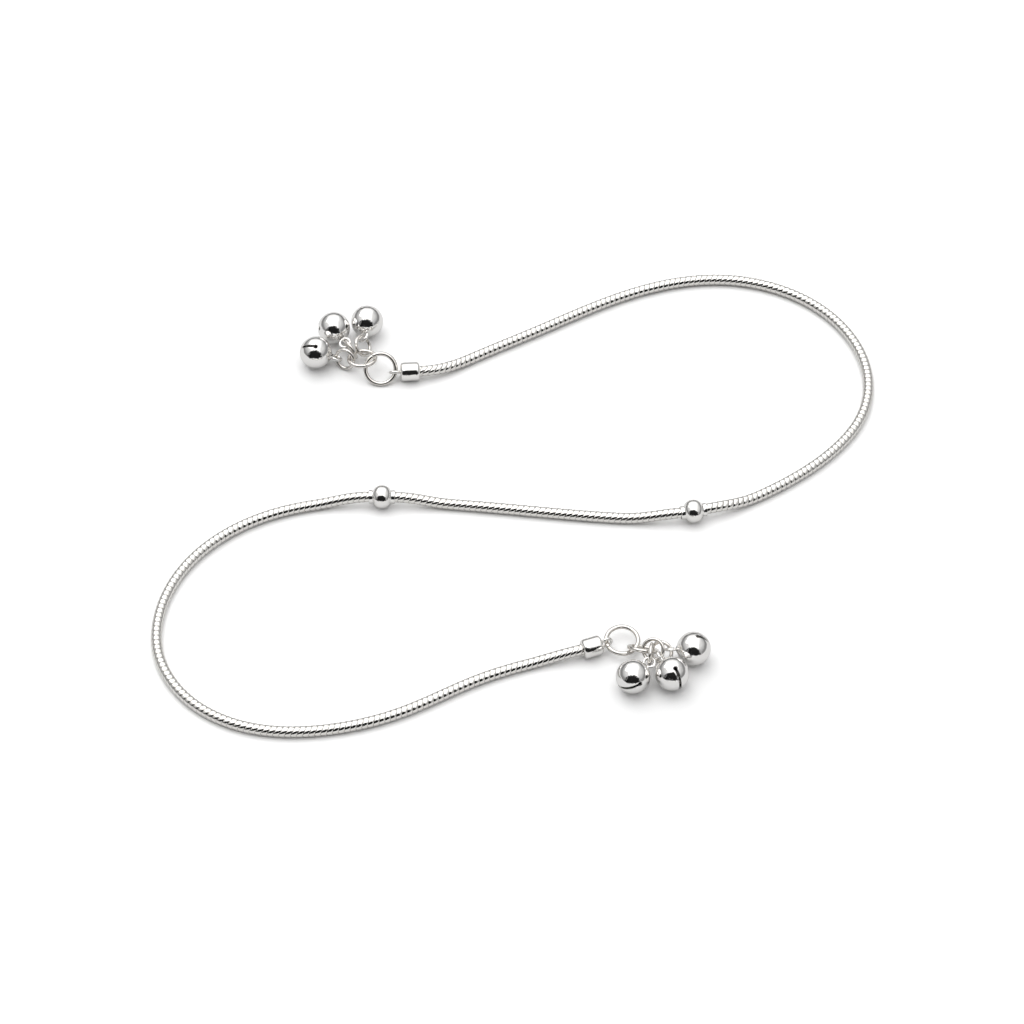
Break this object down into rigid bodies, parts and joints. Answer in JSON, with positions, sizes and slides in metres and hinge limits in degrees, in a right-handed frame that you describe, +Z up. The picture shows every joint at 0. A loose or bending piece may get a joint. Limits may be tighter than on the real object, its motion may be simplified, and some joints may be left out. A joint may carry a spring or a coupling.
{
  "type": "payal anklet",
  "caption": "Silver payal anklet lying open in an S: round snake chain with ball beads, end caps, and jump rings that hold hollow slotted bells.",
  "frame": {"origin": "centre of the anklet's laid-out footprint, on the surface it lies on", "axes": "+Z up from the surface; +X towards the picture's right, along the longest extent; +Y away from the camera"},
  "size_m": [0.0969, 0.0798, 0.0045],
  "materials": {
    "silver_chain": "polished silver snake chain",
    "silver_bead": "mirror-polished silver",
    "silver_cap": "mirror-polished silver",
    "silver_ring": "polished silver wire",
    "silver_bell": "mirror-polished silver",
    "pellet_metal": "plain steel ball"
  },
  "bodies": {
    "root": {"snake_chain": "silver_chain", "bead_left": "silver_bead", "bead_right": "silver_bead", "end_cap_left": "silver_cap", "end_cap_right": "silver_cap", "big_ring_left": "silver_ring", "big_ring_right": "silver_ring", "middle_ring_left": "silver_ring", "middle_ring_right": "silver_ring", "small_ring_1": "silver_ring", "small_ring_2": "silver_ring", "small_ring_3": "silver_ring", "small_ring_4": "silver_ring", "small_ring_5": "silver_ring", "small_ring_6": "silver_ring", "bell_1": "silver_bell", "bell_2": "silver_bell", "bell_3": "silver_bell", "bell_4": "silver_bell", "bell_5": "silver_bell", "bell_6": "silver_bell", "pellet_1": "pellet_metal", "pellet_2": "pellet_metal", "pellet_3": "pellet_metal", "pellet_4": "pellet_metal", "pellet_5": "pellet_metal", "pellet_6": "pellet_metal"}
  },
  "joints": []
}
